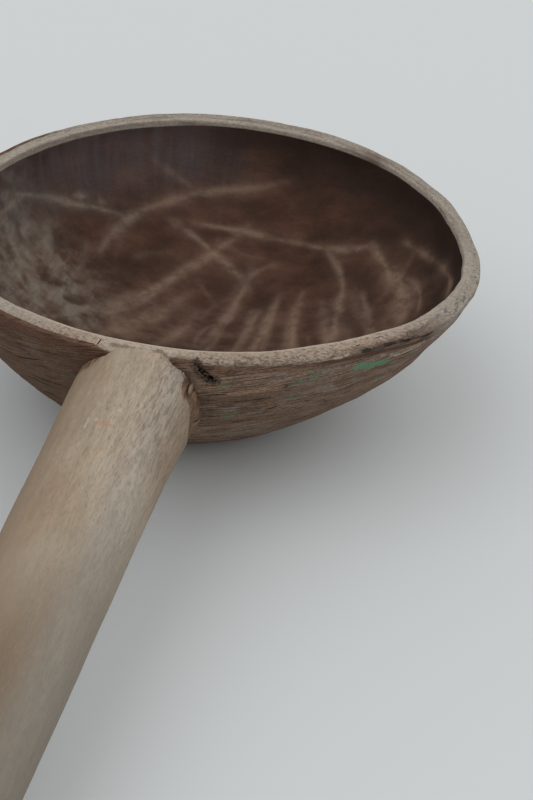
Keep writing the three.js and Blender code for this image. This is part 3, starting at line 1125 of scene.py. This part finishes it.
def markHollow(bowl, places, compass, depth, inside):
    within = inside > 0
    scuffed = np.zeros(len(places))
    scuffed[within] = scuffStrength(places[within])
    dusty = np.hypot(places[:, 0] + 2 * mm, (places[:, 1] + 52 * mm) * 0.9)
    # darker high up the right and far inner wall, reaching less deep towards the far side
    darkDepth = (27 - 10 * ease(140, 175, compass)) * mm
    darkUpperHollow = markAt("darkUpperHollow", compass) * (1 - ease(5 * mm, darkDepth, depth))
    # painted reflection high on the far-left inner wall, gone by 30 mm down
    paintedSheen = markAt("paintedSheen", compass) * (1 - ease(10 * mm, 30 * mm, depth))
    wash = ease(-40 * mm, 2 * mm, places[:, 0]) * (1 - 0.7 * ease(15 * mm, 45 * mm, places[:, 1]))
    addMask(bowl, "inside", inside)
    addMask(bowl, "scuff", scuffed)
    addMask(bowl, "dust", (1 - ease(6 * mm, 34 * mm, dusty)) * inside)
    addMask(bowl, "darkUpperHollow", darkUpperHollow * inside)
    addMask(bowl, "paintedSheen", paintedSheen * inside)
    addMask(bowl, "wash", wash * inside)


# How far each place lies out from the inner edge of the rim, which is found degree by degree.
def fromInnerEdge(compass, depth, reach, inside):
    ring = (inside > 0) & (depth > 0.8 * mm) & (depth < 2.4 * mm)
    sector = compass.astype(int) % 360
    count = np.bincount(sector[ring], minlength=360)
    edge = np.bincount(sector[ring], reach[ring], 360) / np.maximum(1, count)
    return reach - edge[sector]


def markRim(bowl, degrees, depth, reach, inside):
    compass = degrees % 360
    fromOuter = bowlShape["rimRadius"] - reach
    byHandle = markAt("byHandle", degrees)
    leftEdge = markAt("leftEdge", degrees)
    byGash = markAt("byGash", degrees)
    outsideDrop = 2.8 * markAt("rolledEdge", degrees) - 0.5 * byHandle - 1.5 * leftEdge - byGash
    insideDrop = -0.7 * markAt("farInside", compass)
    addMask(bowl, "rimDrop", np.where(inside > 0, insideDrop, outsideDrop) * mm)
    addMask(bowl, "darkEdge", (0.9 * leftEdge + 0.7 * byGash) * mm)
    addMask(bowl, "byHandle", byHandle)
    addMask(bowl, "brokenRim", markAt("brokenRim", degrees))
    streakDepth = (0.4 + 1.1 * ease(50, 61, degrees)) * mm
    streak = np.exp(-((depth - streakDepth) / (0.5 * mm)) ** 2) * (1 - ease(0.8 * mm, 1.6 * mm, fromOuter))
    addMask(bowl, "streak", streak * markAt("streak", degrees))
    # painted shadow line and dark wood just below the rim's lower edge
    shadowBandDepth = (1.5 + 1.5 * ease(44, 59, degrees)) * mm
    shadowBand = np.exp(-((depth - shadowBandDepth) / (0.75 * mm)) ** 2)
    addMask(bowl, "redShadowBand", shadowBand * markAt("redShadowBand", degrees))
    addMask(bowl, "smeared", markAt("smeared", degrees) * (1 - ease(1.7 * mm, 4.7 * mm, fromOuter)))
    addMask(bowl, "farRim", markAt("farRim", compass))
    addMask(bowl, "greyRim", markAt("greyRim", compass))
    fromEdge = fromInnerEdge(compass, depth, reach, inside)
    # painted highlight: a thin line along the rim's inner edge on the near side
    innerEdgeHighlight = span(fromEdge, -0.1 * mm, 0.2 * mm, 0.6 * mm, 1.3 * mm) * markAt("innerEdgeHighlight", degrees)
    addMask(bowl, "innerEdgeHighlight", innerEdgeHighlight * (1 - ease(0.8 * mm, 1.4 * mm, depth)))
    # painted shade of a notch, with a brown stain, at the far inner edge
    notchShadeAndStain = np.exp(-((compass - notchDegrees) / 5) ** 2) * (1 - ease(2.5 * mm, 4.5 * mm, fromEdge))
    addMask(bowl, "notchShadeAndStain", notchShadeAndStain)


def markWall(bowl, places, degrees):
    leftSide = markAt("leftSide", degrees)
    addMask(bowl, "leftSide", leftSide)
    # painted shade and light: darker on the left side, lighter just right of the handle
    addMask(bowl, "wallLight", 1 - 0.3 * leftSide + 0.13 * markAt("lighterByHandle", degrees))
    for name, (ends, width) in wallLines.items():
        line = np.array([onWall(spot[0], spot[1] * mm) for spot in ends])
        away = nearLine(places, line)[0] / (width * mm)
        addMask(bowl, name, np.exp(-away * away))


def markBowl(bowl):
    places = getPlaces(bowl)
    angle, depth, reach, inside = readBowl(places)
    degrees = np.degrees(angle)
    compass = degrees % 360
    markHollow(bowl, places, compass, depth, inside)
    markRim(bowl, degrees, depth, reach, inside)
    markWall(bowl, places, degrees)
    addMask(bowl, "reach", reach)
    addMask(bowl, "round", np.radians(compass) * bowlShape["rimRadius"])


markBowl(bowl)
print("bowl marked")


# handle

handleLook = {
    "length": 233 * mm,
    "shoulderRadius": 16.4 * mm,
    "voxel": 0.57 * mm,
    "smoothing": 4,
    "knifeWork": 0.7 * mm,
    "fibreRelief": 0.16 * mm,
    "flare": 2.4 * mm,
    "flareLength": 4.5 * mm,
    "swelling": 0.9 * mm,
    "tongue": 2.6 * mm,
    "crown": 0.6 * mm,
    "brownCut": 0.18 * mm,
    "overRim": 0.06 * mm,
    "flakeLean": (0.82, 0.57),
}
# which turns of the shoulder are shaped, in degrees round from the top: starts, is full, starts to fade, ends
shoulderTurns = {
    "flare": (8, 28, 42, 74),
    "swelling": (62, 90, 125, 155),
    "tongue": (-27, -17, 24, 36),
}
wallPoint = buttCentre - handleAxis * handleLook["length"]
handleUp = Vector((-handleAxis.z, 0, handleAxis.x))


# Where each vertex lies: along the axis from the wall, degrees round from the top, distance from the axis,
# and how far outside the bowl's wall.
def readHandle(places):
    away = places - np.array(wallPoint)
    along = away @ np.array(handleAxis)
    side = away[:, 1]
    up = away @ np.array(handleUp)
    _, depth, reach, _ = readBowl(places)
    wall = sideReach(bowlShape["rimRadius"], outsideDepth, bowlShape["outsideFullness"], depth)
    return along, np.degrees(np.arctan2(side, up)), np.hypot(side, up), reach - wall


def onHandle(along, degrees, radius):
    turn = math.radians(degrees)
    across = Vector((0, math.sin(turn), 0)) + handleUp * math.cos(turn)
    return wallPoint + handleAxis * along + across * radius, across


# How far the wood is split open and brown, from the wall outwards (mm), at each turn round the handle.
def brownWidth(turn):
    top = 1.6 * ease(26, 40, turn) + 5.6 * ease(49, 60, turn)
    lower = 9 * ease(66, 96, turn) - 15 * ease(135, 175, turn)
    return top + lower + 5.2 * (1 - ease(-42, -25, turn)) - 1 - 5 * (1 - ease(16, 28, abs(turn)))


# The shoulder swells to meet the wall on one side, its split facet lies lower, and its top runs out over the
# rim.
def fitShoulder(handle, look):
    places = getPlaces(handle)
    along, turn, radius, outside = readHandle(places)
    outer = ease(10 * mm, 14 * mm, radius)
    swell = look["flare"] * span(turn, *shoulderTurns["flare"])
    swell *= np.clip(1 - outside / look["flareLength"], 0, 1) ** 2
    collar = 0.8 * (1 - ease(7 * mm, 10 * mm, outside)) + 0.9 * (1 - ease(10 * mm, 34 * mm, outside))
    collar *= span(turn, *shoulderTurns["swelling"]) * ease(1 * mm, 6 * mm, outside)
    swell += look["swelling"] * collar
    swell -= look["brownCut"] * ease(-0.4, 0.4, brownWidth(turn) - outside / mm) * ease(20, 40, turn)
    sides = places - np.array(wallPoint) - along[:, None] * np.array(handleAxis)
    places += sides * (swell * outer / np.maximum(radius, 1 * mm))[:, None]
    top = span(turn, *shoulderTurns["tongue"]) * outer
    places -= np.array(handleAxis) * (look["tongue"] * top * (1 - ease(1 * mm, 14 * mm, outside)))[:, None]
    places[:, 2] += look["crown"] * top * (1 - ease(1 * mm, 12 * mm, outside))
    places[:, 2] = np.minimum(places[:, 2], bowlShape["height"] + look["overRim"])
    setPlaces(handle, places)


# a flake lifted off the shoulder: mm along the handle, degrees round, mm proud, then its length, width and
# depth (mm)
flake = ((-2.4, 62, 1.0), (4.0, 2.6, 0.5))
# the dark splits by it, listed the same way, and how steeply they climb
splits = (
    ((-2.6, 68, 1.3), (3.0, 0.35, 1.2), 0.5),
    ((-1.4, 94, 0.9), (5.0, 0.35, 1.1), 0.4),
)
flakeMark = (-1.6, 60, 1.2)    # the middle of the flake's pale mark


def onShoulder(along, degrees, proud):
    return onHandle(along * mm, degrees, handleLook["shoulderRadius"] + proud * mm)


def flakeShoulder(handle, look):
    place, size = flake
    corner, outward = onShoulder(*place)
    out, aside = look["flakeLean"]
    lifted = (outward * out - handleAxis.cross(outward) * aside).normalized()
    carve(handle, [lens(corner, handleAxis, lifted, *[s * mm for s in size], 0.16)], handleWood, "UNION")
    cuts = []
    for place, size, climb in splits:
        middle, outward = onShoulder(*place)
        cuts.append(lens(middle, handleAxis + handleUp * climb, outward, *[s * mm for s in size], 0.25))
    carve(handle, cuts, crackShadeWood)


# drying checks that open out from the heart of the sawn end: degrees round, inner and outer reach, width (mm)
buttChecks = ((35, 0, 10, 0.4), (150, 1, 6, 0.25), (248, 2, 9, 0.3), (305, 4, 7, 0.2))


def checkButt(handle, look):
    cuts = []
    for degrees, inner, outer, width in buttChecks:
        middle, across = onHandle(look["length"], degrees, (inner + outer) / 2 * mm)
        cuts.append(lens(middle, across, handleAxis, (outer - inner) * mm, width * mm, 3 * mm, 0.25))
    carve(handle, cuts, crackShadeWood)


def makeHandle(look):
    handle = copyNode("handle", "weathered_handle")
    applyModifier(handle, "REMESH", mode="VOXEL", voxel_size=look["voxel"])
    applyModifier(handle, "SMOOTH", factor=0.5, iterations=look["smoothing"])
    outside = readHandle(getPlaces(handle))[3]
    clear = addWeights(handle, "clear", ease(1 * mm, 12 * mm, outside))
    for name, size in (("knifeWork", (50, 11, 11)), ("fibreRelief", (4.5, 1.2, 1.2))):
        roughen(handle, name, size, look[name], (0, handleSlope, 0), clear)
    fitShoulder(handle, look)
    handle.data.materials.append(handleWood)
    flakeShoulder(handle, look)
    checkButt(handle, look)
    places = getPlaces(handle)
    along, turn, radius, outside = readHandle(places)
    addMask(handle, "brownEdge", np.clip(brownWidth(turn) - outside / mm, -6, 6))
    away = np.linalg.norm(places - np.array(onShoulder(*flakeMark)[0]), axis=1)
    addMask(handle, "flake", np.exp(-(away / (1.5 * mm)) ** 4))
    sawn = ease(look["length"] - 1.6 * mm, look["length"] - 0.5 * mm, along)
    tenonEnd = 1 - ease(-4 * mm, -2.5 * mm, outside)
    addMask(handle, "endGrain", np.maximum(sawn, tenonEnd))
    addMask(handle, "inWall", tenonEnd)
    addMask(handle, "fromAxis", radius)
    return handle


handle = makeHandle(handleLook)
print("handle shaped:", len(handle.data.polygons), "faces")


# wedge

wedgeLook = {
    "voxel": 0.35 * mm,
    "smoothing": 4,
}


def makeWedge(look):
    wedge = copyNode("tenon_wedge", "weathered_wedge")
    applyModifier(wedge, "REMESH", mode="VOXEL", voxel_size=look["voxel"])
    applyModifier(wedge, "SMOOTH", factor=0.5, iterations=look["smoothing"])
    wedge.data.materials.append(wedgeWood)
    return wedge


wedge = makeWedge(wedgeLook)
print("wedge shaped:", len(wedge.data.polygons), "faces")

sharpAngle = math.radians(40)
for piece, nodeName, slotName in (
    (bowl, "bowl", "bowl_wood"),
    (handle, "handle", "handle_wood"),
    (wedge, "tenon_wedge", "wedge_wood"),
):
    pick(piece)
    bpy.ops.object.shade_smooth_by_angle(angle=sharpAngle)
    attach(piece, "root")
    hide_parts(nodeName)


# floor, light and camera

studio = {
    "floorSize": 8,
    "floorColour": (0.6, 0.625, 0.63),
    "skyStrength": 0.69,
    "lampSpread": math.radians(50),
    "lamps": (((0.1, 0.85, 1.3), 0.165), ((0.75, -0.7, 1.4), 0.155)),
}
view = {
    "place": (0.3932, 0.0977, 0.2615),
    "aim": (0.0884, 0.0436, 0.058),
    "roll": math.radians(5.06),
    "lens": 67.5,
    "sensorWidth": 36,
    "nearest": 0.01,
}


def makeStudio(look):
    bpy.ops.mesh.primitive_plane_add(size=look["floorSize"])
    floor = bpy.context.object
    floor.name = "floor"
    material, tree, surface = newMaterial("paleFloor", 0.9, 0.1)
    feed(tree, surface["Base Color"], look["floorColour"])
    floor.data.materials.append(material)
    world = bpy.data.worlds.new("studioSky")
    world.use_nodes = True
    sky = world.node_tree.nodes["Background"].inputs
    sky["Color"].default_value = (1, 1, 1, 1)
    sky["Strength"].default_value = look["skyStrength"]
    bpy.context.scene.world = world
    for place, share in look["lamps"]:
        bpy.ops.object.light_add(type="SUN", location=place)
        lamp = bpy.context.object
        lamp.data.angle = look["lampSpread"]
        lamp.data.energy = share * math.pi * lamp.location.length / lamp.location.z
        lamp.rotation_euler = lamp.location.to_track_quat("Z", "Y").to_euler()


def makeCamera(look):
    bpy.ops.object.camera_add(location=look["place"])
    camera = bpy.context.object
    camera.data.lens = look["lens"]
    camera.data.sensor_width = look["sensorWidth"]
    camera.data.clip_start = look["nearest"]
    towards = Vector(look["aim"]) - camera.location
    turn = towards.to_track_quat("-Z", "Y") @ Matrix.Rotation(look["roll"], 3, "Z").to_quaternion()
    camera.rotation_euler = turn.to_euler()
    bpy.context.scene.camera = camera


makeStudio(studio)
makeCamera(view)
bpy.context.scene.view_settings.view_transform = "Standard"
print("studio ready")
